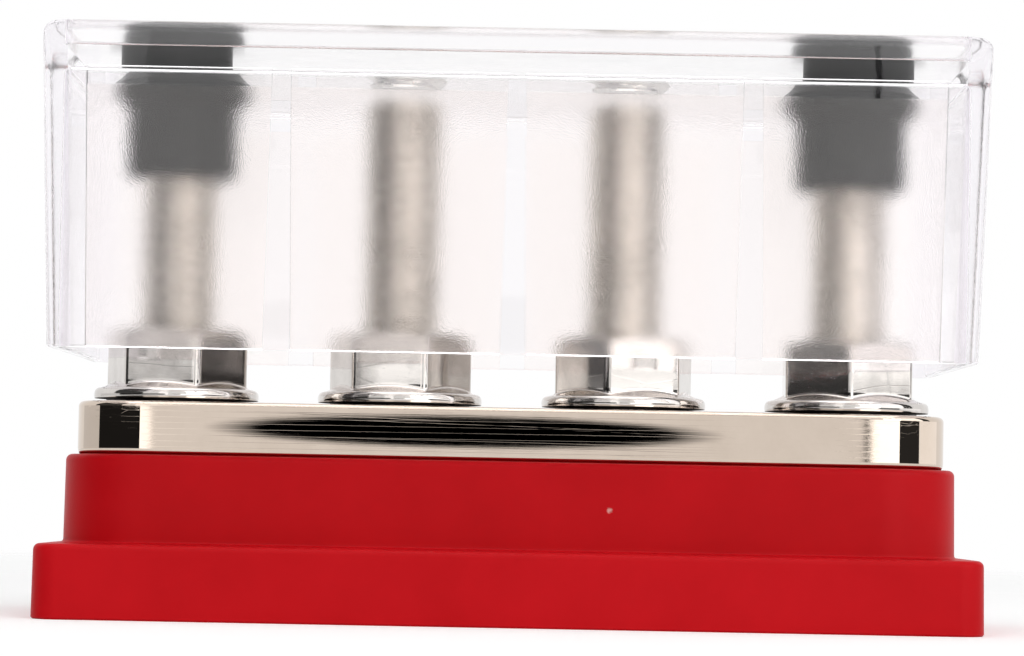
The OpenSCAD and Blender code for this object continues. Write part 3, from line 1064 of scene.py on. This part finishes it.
@dataclass
class Cover:
    """Clear cover: a drafted shell with a rim around its roof and frosted break-out panels."""

    stud_x: Sequence[float]
    finishes: dict[CoverFinish, Material]
    node: str = "cover"
    roof_t: float = 2.4
    rim_h: float = 2.6
    rim_w: float = 2.4
    lean: float = 1.1
    corner_r: float = 3.0
    edge_r: float = 1.3
    foot_edge: float = 0.2
    rim_edge: float = 0.35
    inner_edge_r: float = 0.6
    inner_corner_r: float = 1.0
    wall_top: float = 2.4
    end_wall_foot: float = 1.4
    long_wall_foot: float = 2.0
    panel_depth: float = 0.9
    score_depth: float = 0.5
    score_h: float = 1.9
    panel_drop: float = 2.4
    panel_rib_top: float = 2.0
    panel_rib_foot: float = 3.0
    panel_end: float = 5.1
    neck_hole_r: float = 6.19
    panel_facing: float = 0.99
    side_facing: float = 0.9
    near_face: float = 0.05
    corner_steps: int = 16
    edge_steps: int = 9

    def __post_init__(self) -> None:
        """Reads the cover's box."""
        low, high = node_box(self.node)
        self.length = high[0] - low[0]
        self.depth = high[1] - low[1]
        self.foot_z = low[2]
        self.rim_z = high[2]
        self.roof_z = self.rim_z - self.rim_h
        self.under_z = self.roof_z - self.roof_t
        self.lean_z = self.rim_z - self.edge_r
        self.panel_top_z = self.roof_z - self.panel_drop
        self.panel_foot_z = self.foot_z - CUT_PAST

    def wall_y(self, z: float) -> float:
        """Distance from the middle to the outer face of a long wall at a height."""
        return self.depth / 2 - self.lean * (self.lean_z - z) / (self.lean_z - self.foot_z)

    def rings(self) -> list[Ring]:
        """Levels from the roof's top over the rim, down outside and up inside to the roof's underside."""
        steps = self.edge_steps
        lift = self.foot_z + self.foot_edge
        outer = Ring(0.0, self.length, self.depth, self.corner_r)
        pocket = outer.within(self.rim_w, max(self.corner_r - self.rim_w, self.corner_r / 3))
        foot = outer.within(self.lean, self.corner_r)
        inner_foot = Ring(
            self.foot_z, foot.length - 2 * self.end_wall_foot, foot.depth - 2 * self.long_wall_foot,
            self.inner_corner_r,
        )
        inner_top = outer.within(self.wall_top, self.inner_corner_r)
        return [
            *pocket.opening(self.rim_edge, self.roof_z, steps),
            *pocket.closing(self.rim_edge, self.rim_z, steps, side=-1),
            *outer.opening(self.edge_r, self.rim_z, steps, up=-1),
            foot.inset(0.0, lift),
            foot.inset(self.foot_edge, self.foot_z),
            inner_foot.inset(-self.foot_edge, self.foot_z),
            inner_foot.inset(0.0, lift),
            *inner_top.closing(self.inner_edge_r, self.under_z, steps),
        ]

    def panel_edges(self) -> list[float]:
        """Middles of the ribs beside the panels, with the ends of the row set the same way."""
        ends = self.length / 2 - self.panel_end + self.panel_rib_top / 2
        middles = [(a + b) / 2 for a, b in zip(self.stud_x, self.stud_x[1:])]
        return [-ends, *middles, ends]

    def rib_half(self, z: float) -> float:
        """Half of a rib's width at a height."""
        share = (z - self.panel_foot_z) / (self.panel_top_z - self.panel_foot_z)
        return (self.panel_rib_foot + (self.panel_rib_top - self.panel_rib_foot) * share) / 2

    def panel_cutters(self) -> Object:
        """Cutters that follow both long walls, deeper along each panel's top, in one object."""
        low, step, top = self.panel_foot_z, self.panel_top_z - self.score_h, self.panel_top_z
        deep = self.panel_depth + self.score_depth
        outside = self.depth / 2 + 2 * CUT_PAST
        section = [
            (outside, low), (self.wall_y(low) - self.panel_depth, low),
            (self.wall_y(step) - self.panel_depth, step), (self.wall_y(step) - deep, step),
            (self.wall_y(top) - deep, top), (outside, top),
        ]
        edges = self.panel_edges()
        shapes = []
        for left, right in zip(edges, edges[1:]):
            for side in (-1, 1):
                line = section if side < 0 else section[::-1]
                near = np.array([(left + self.rib_half(z), side * y, z) for y, z in line])
                far = np.array([(right - self.rib_half(z), side * y, z) for y, z in line])
                shapes.append((near, far))
        return prisms("panel_cutters", shapes)

    def texture_faces(self, piece: Object) -> None:
        """Gives the panels' floors, their sides with the roof's top and rim, and the ends other finishes.

        Args:
            piece: the cover.
        """
        ends = self.length / 2 - self.corner_r - self.lean
        for face in piece.data.polygons:
            x, y, z = face.center / MM
            faces_out = abs(face.normal.y) > self.panel_facing and face.normal.y * y > 0
            panel_side = abs(face.normal.x) > self.side_facing and abs(y) > self.depth / 3
            if faces_out and abs(self.wall_y(z) - abs(y) - self.panel_depth) < self.near_face:
                face.material_index = CoverFinish.FROSTED
            elif abs(x) > ends:
                face.material_index = CoverFinish.HAZY
            elif z > self.roof_z - self.near_face or panel_side:
                face.material_index = CoverFinish.SATIN

    def build(self) -> None:
        """Makes the cover and puts it in its place."""
        piece = loft("clear_cover", self.rings(), self.corner_steps)
        cut(piece, self.panel_cutters())
        drill(piece, (self.stud_x[0], self.stud_x[-1]), self.neck_hole_r, self.under_z, self.roof_z)
        shade(piece, sharp_degrees=25)
        fit(piece, self.node, Body.COVER.value, Slot.COVER, *map(self.finishes.get, CoverFinish))
        self.texture_faces(piece)


@dataclass
class Bushing:
    """Soft bushing that holds the cover on an end stud."""

    node: str
    finish: Material
    barrel_d: float = 12.6
    barrel_edge: float = 0.9
    barrel_steps: int = 7
    bore_r: float = 4.8225
    bore_edge: float = 0.3
    shoulder_h: float = 0.8
    shoulder_edge: float = 0.15
    shoulder_cone_h: float = 1.7
    cone_curve: float = 1.6
    cone_steps: int = 9
    neck_d: float = 12.4
    head_d: float = 13.7
    head_h: float = 4.8
    head_edge: float = 0.9
    head_steps: int = 9
    head_foot_edge: float = 0.9
    head_foot_steps: int = 6
    roof_t: float = 2.4
    around: int = 96

    def __post_init__(self) -> None:
        """Reads the bushing's box."""
        self.low, self.high = node_box(self.node)

    @staticmethod
    def foot_round(radius: float, edge: float, z: float, steps: int) -> list[tuple[float, float]]:
        """Radius and height pairs of the round edge at the foot of a cylinder."""
        arc = quarter_arc(steps)
        return [(radius - edge * (1 - sine), z + edge * (1 - cosine)) for sine, cosine in arc]

    def profile(self) -> list[tuple[float, float]]:
        """Radius and height pairs from the bore's end round the outside to the top, from axis to axis."""
        low_z, high_z, shoulder_r = self.low[2], self.high[2], (self.high[0] - self.low[0]) / 2
        stud_z = node_box(STUD_NODES[0])[1][2]
        roof_z = high_z - self.head_h
        under_z = roof_z - self.roof_t
        cone_foot = under_z - self.shoulder_h - self.shoulder_cone_h
        barrel_r, neck_r, head_r = self.barrel_d / 2, self.neck_d / 2, self.head_d / 2
        line = [(0.0, stud_z), (self.bore_r, stud_z)]
        line += [(self.bore_r, low_z + self.bore_edge), (self.bore_r + self.bore_edge, low_z)]
        line += self.foot_round(barrel_r, self.barrel_edge, low_z, self.barrel_steps)
        for share in np.linspace(0.0, 1.0, self.cone_steps):
            radius = barrel_r + (shoulder_r - barrel_r) * share ** self.cone_curve
            line.append((radius, cone_foot + self.shoulder_cone_h * share))
        line += [(shoulder_r, under_z - self.shoulder_edge), (shoulder_r - self.shoulder_edge, under_z)]
        line += [(neck_r, under_z), (neck_r, roof_z)]
        line += self.foot_round(head_r, self.head_foot_edge, roof_z, self.head_foot_steps)
        for sine, cosine in quarter_arc(self.head_steps):
            line.append((head_r - self.head_edge * (1 - cosine), high_z - self.head_edge * (1 - sine)))
        line.append((0.0, high_z))
        return line

    def build(self) -> None:
        """Makes the bushing and puts it in its place."""
        x, y, _ = (self.low + self.high) / 2
        piece = turned(f"soft_{self.node}", self.profile(), self.around, (x, y))
        shade(piece, sharp_degrees=40)
        fit(piece, self.node, Body.COVER.value, Slot.BUSHING, self.finish)


def reflect_only(card: Object, material: Material, diffuse: bool = False) -> None:
    """Gives a card its material and hides it from the camera and from shadows.

    Args:
        card: the card.
        material: its material.
        diffuse: whether dull surfaces see it.
    """
    card.data.materials.append(material)
    card.visible_camera = False
    card.visible_shadow = False
    card.visible_diffuse = diffuse


@dataclass(frozen=True)
class Card:
    """Upright studio card on a circle around the object, seen in reflections only."""

    name: str
    from_degrees: float
    to_degrees: float
    low: float
    high: float
    strength: float
    distance: float = 1200.0
    shades: bool = False
    steps: int = 12

    def build(self) -> None:
        """Makes the card; 0 degrees is towards the camera and +90 towards +X."""
        turn = np.radians(np.linspace(self.from_degrees, self.to_degrees, self.steps + 1))
        line = np.column_stack((self.distance * np.sin(turn), -self.distance * np.cos(turn)))
        n = len(line)
        faces = [[k, k + 1, n + k + 1, n + k] for k in range(self.steps)]
        card = mesh_object(self.name, np.vstack(outline_prism(line, self.low, self.high)), faces)
        material = shader_material(self.name, GLOW, Strength=self.strength)[2]
        reflect_only(card, material, diffuse=self.shades)


@dataclass(frozen=True)
class SoftFlag:
    """Small dark flag beside the lens with soft edges, which only mirrors show."""

    name: str
    at: Point
    half_width: float
    half_height: float
    solid_share: float
    around: int = 48

    def build(self) -> None:
        """Makes the flag, an upright ellipse across the view."""
        turn = np.linspace(0.0, 2 * math.pi, self.around, endpoint=False)
        x = self.at[0] + self.half_width * np.cos(turn)
        z = self.at[2] + self.half_height * np.sin(turn)
        points = np.column_stack((x, np.full(len(x), self.at[1]), z))
        flag = mesh_object(self.name, points, [range(len(points))])
        graph, glow, material = shader_material(self.name, GLOW, Strength=0.0)
        off = graph.vector("SUBTRACT", graph.millimetres(), self.at)
        scaled = graph.vector("DIVIDE", off, (self.half_width, 1.0, self.half_height))
        edge = graph.remap(graph.measure("LENGTH", scaled), self.solid_share, 1.0)
        graph.show_faded(glow.outputs[0], edge)
        reflect_only(flag, material)
        flag.visible_transmission = False


@dataclass(frozen=True)
class Lamp:
    """Square soft lamp that points at the object."""

    name: str
    at: Point
    size: float
    power: float

    def build(self, target: Vector) -> None:
        """Makes the lamp.

        Args:
            target: the place that it points at, in millimetres.
        """
        data = bpy.data.lights.new(self.name, "AREA")
        data.size = self.size * MM
        data.energy = self.power
        lamp = scene_object(self.name, data)
        lamp.location = Vector(self.at) * MM
        lamp.rotation_euler = (target - Vector(self.at)).to_track_quat("-Z", "Y").to_euler()


LAMPS = (
    Lamp("top_lamp", (0, -150, 700), 600, 1.9),
    Lamp("front_right_lamp", (350, -600, 250), 350, 0.9),
)
CARD_FOOT, CARD_TOP = -400, 1500
CARDS = (
    Card("grey_far_left_low_card", -125, -82.6, CARD_FOOT, 61, 0.78, shades=True),
    Card("dark_left_low_card", -82.6, -12.0, CARD_FOOT, 61, 0.015, shades=True),
    Card("dark_left_high_card", -92, -42, 61, CARD_TOP, 0.06, shades=True),
    Card("grey_left_high_card", -42, -20.5, 61, CARD_TOP, 0.92),
    Card("white_left_card", -12.0, -7.9, CARD_FOOT, 61, 1.95),
    Card("white_left_high_card", -20.5, -8.0, 61, CARD_TOP, 1.5),
    Card("dark_line_card", 7.79, 7.91, CARD_FOOT, CARD_TOP, 0.0),
    Card("white_right_card", 7.91, 40.5, CARD_FOOT, 67, 2.2),
    Card("pale_right_high_card", 7.91, 40.5, 67, CARD_TOP, 1.15),
    Card("dark_right_low_card", 40.5, 76, CARD_FOOT, 64, 0.03),
    Card("pale_far_right_low_card", 76, 120, CARD_FOOT, 64, 1.25),
    Card("white_right_high_card", 40.5, 83, 64, CARD_TOP, 1.8),
    Card("dark_right_high_card", 84, 100, 67, CARD_TOP, 0.05, shades=True),
)
LENS_FLAG = SoftFlag("lens_flag", (-10.0, -386.0, 27.8), 58.0, 6.6, 0.8)


@dataclass(frozen=True)
class Studio:
    """Pale floor, white surroundings, soft lamps, cards and the camera."""

    camera_at: Point = (-0.1, -385.0, 13.62)
    camera_pitch: float = 2.919
    camera_roll: float = 1.111
    camera_lens: float = 118.97
    camera_sensor: float = 36.0
    camera_clip: tuple[float, float] = (0.01, 50.0)
    floor_r: float = 420.0
    floor_fade_r: float = 160.0
    floor_shade: float = 0.90
    floor_lift: float = 0.25
    floor_steps: int = 96
    world_fill: float = 0.56
    lamps_aim: Point = (0.0, 0.0, 30.0)
    clear_bounces: int = 32
    mirror_bounces: int = 16

    def camera(self) -> None:
        """Makes the camera at the photograph's place."""
        data = bpy.data.cameras.new("camera")
        data.lens = self.camera_lens
        data.sensor_width = self.camera_sensor
        data.clip_start, data.clip_end = self.camera_clip
        camera = scene_object("camera", data)
        camera.location = Vector(self.camera_at) * MM
        pitch = Matrix.Rotation(math.radians(90 + self.camera_pitch), 3, "X")
        roll = Matrix.Rotation(math.radians(self.camera_roll), 3, "Z")
        camera.rotation_euler = (pitch @ roll).to_euler()
        bpy.context.scene.camera = camera

    @staticmethod
    def seen_share(graph: Graph) -> NodeSocket:
        """1 for rays that show the surroundings: camera, mirror and see-through rays."""
        path = graph.add("ShaderNodeLightPath")
        seen = graph.math("ADD", path.outputs["Is Camera Ray"], path.outputs["Is Glossy Ray"])
        return graph.math("MINIMUM", graph.math("ADD", seen, path.outputs["Is Transmission Ray"]), 1.0)

    def floor(self) -> None:
        """Makes the round floor, which keeps the shadow and fades into the white surroundings."""
        disc = circle_outline(0.0, 0.0, self.floor_r, self.floor_steps)
        floor = mesh_object("floor", np.column_stack((disc, np.zeros(len(disc)))), [range(len(disc))])
        graph, glow, material = shader_material("pale_floor", GLOW)
        paint = graph.add("ShaderNodeBsdfDiffuse", Color=(self.floor_shade,) * 3 + (1.0,))
        graph.set(glow, Strength=graph.math("MULTIPLY", self.seen_share(graph), self.floor_lift))
        solid = graph.add("ShaderNodeAddShader")
        graph.feed(solid.inputs[0], paint.outputs[0])
        graph.feed(solid.inputs[1], glow.outputs[0])
        reach = graph.measure("LENGTH", graph.millimetres())
        graph.show_faded(solid.outputs[0], graph.remap(reach, self.floor_fade_r, self.floor_r))
        floor.data.materials.append(material)

    def world(self) -> None:
        """Makes the white surroundings, which light the object less than they show."""
        world = bpy.data.worlds.new("white_room")
        bpy.context.scene.world = world
        world.cycles.sampling_method = "NONE"
        world.use_nodes = True
        world.node_tree.nodes.clear()
        graph = Graph(world.node_tree)
        strength = graph.remap(self.seen_share(graph), 0.0, 1.0, self.world_fill, 1.0)
        ground = graph.add("ShaderNodeBackground", Color=(1.0, 1.0, 1.0, 1.0), Strength=strength)
        graph.add("ShaderNodeOutputWorld", Surface=ground.outputs[0])

    def build(self) -> None:
        """Makes the whole studio."""
        self.camera()
        self.floor()
        self.world()
        for lamp in LAMPS:
            lamp.build(Vector(self.lamps_aim))
        for card in CARDS:
            card.build()
        LENS_FLAG.build()
        bpy.context.scene.view_settings.view_transform = "Standard"
        light = bpy.context.scene.cycles
        light.max_bounces = self.clear_bounces
        light.glossy_bounces = self.mirror_bounces
        light.transmission_bounces = self.clear_bounces


def stud_places() -> list[float]:
    """Places of the studs along the bar, from left to right."""
    return [float((node_box(n)[0][0] + node_box(n)[1][0]) / 2) for n in STUD_NODES]


def metal_finishes() -> tuple[Material, ...]:
    """Makes the metals.

    Returns:
        Materials of the bar's plating, the painted shade in the nuts' grooves, the nuts and the studs.
    """
    marks = metal_marks()
    metals = (
        PlatedMetal(
            "bright_plating", marks, (0.668, 0.567, 0.482, 1.0), (0.581, 0.49, 0.408, 1.0),
            smooth=0.008, worn=0.022, streak_length=8.0, streak_width=0.06, streak_depth=0.00016,
            pit_size=1.3, pit_share=0.02, pit_depth=0.0015,
        ),
        # Near-black metal for the groove under each nut's flange: painted shade.
        PlatedMetal(
            "painted_shade_nut_seat", marks, (0.02, 0.016, 0.015, 1.0), (0.01, 0.008, 0.008, 1.0),
            smooth=0.45, worn=0.6, streak_depth=0.0012,
        ),
        PlatedMetal(
            "bright_nut_steel", marks, (0.69, 0.655, 0.625, 1.0), (0.44, 0.41, 0.385, 1.0),
            smooth=0.06, worn=0.15, streak_depth=0.0004,
        ),
        PlatedMetal(
            "stud_steel", marks, (0.76, 0.725, 0.68, 1.0), (0.52, 0.49, 0.45, 1.0),
            smooth=0.2, worn=0.36, streak_length=1.0, streak_width=0.3, streak_depth=0.004, pit_share=0.3,
        ),
    )
    return tuple(metal.build() for metal in metals)


def cover_finishes(grain: NodeTree) -> dict[CoverFinish, Material]:
    """Makes the cover's materials.

    Args:
        grain: the node group of the moulded surface.

    Returns:
        The materials by their place on the cover.
    """
    plastics = {
        CoverFinish.CLEAR: ClearPlastic(
            "clear_plastic", grain, (0.985, 0.975, 0.983, 1.0),
            low_rough=0.01, high_rough=0.02, grain_size=2.5, grain_depth=0.0008,
        ),
        CoverFinish.FROSTED: ClearPlastic(
            "frosted_plastic", grain, (0.998, 0.945, 0.925, 1.0),
            low_rough=0.03, high_rough=0.05, grain_size=0.15, grain_depth=0.024,
        ),
        CoverFinish.SATIN: ClearPlastic(
            "satin_plastic", grain, (0.98, 0.965, 0.975, 1.0),
            low_rough=0.14, high_rough=0.18, grain_size=0.3, grain_depth=0.003, clarity=0.97,
        ),
        CoverFinish.HAZY: ClearPlastic(
            "hazy_plastic", grain, (0.975, 0.955, 0.985, 1.0),
            low_rough=0.08, high_rough=0.12, grain_size=0.3, grain_depth=0.004, clarity=0.97, index=1.12,
        ),
    }
    return {kind: plastic.build() for kind, plastic in plastics.items()}


def main() -> None:
    """Builds every piece, its finish and the studio."""
    logging.basicConfig(level=logging.INFO, format="%(name)s: %(message)s")
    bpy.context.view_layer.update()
    grain = surface_grain()
    plating, painted_seat_shade, nut_steel, stud_steel = metal_finishes()
    rubber = BlackRubber(grain).build()

    stud_x = stud_places()
    base = Base(stud_x, RedMoulding(grain).build())
    base.build()
    Bar(stud_x, plating).build()
    for node in STUD_NODES:
        Stud(node, base.head_seat, stud_steel).build()
    for node, turn in NUT_TURNS.items():
        # Each nut gets its steel and the painted shade for the groove under its flange.
        FlangeNut(node, turn, nut_steel, painted_seat_shade).build()
    Cover(stud_x, cover_finishes(grain)).build()
    for node in BUSHING_NODES:
        Bushing(node, rubber).build()
    Studio().build()


if __name__ == "__main__":
    main()
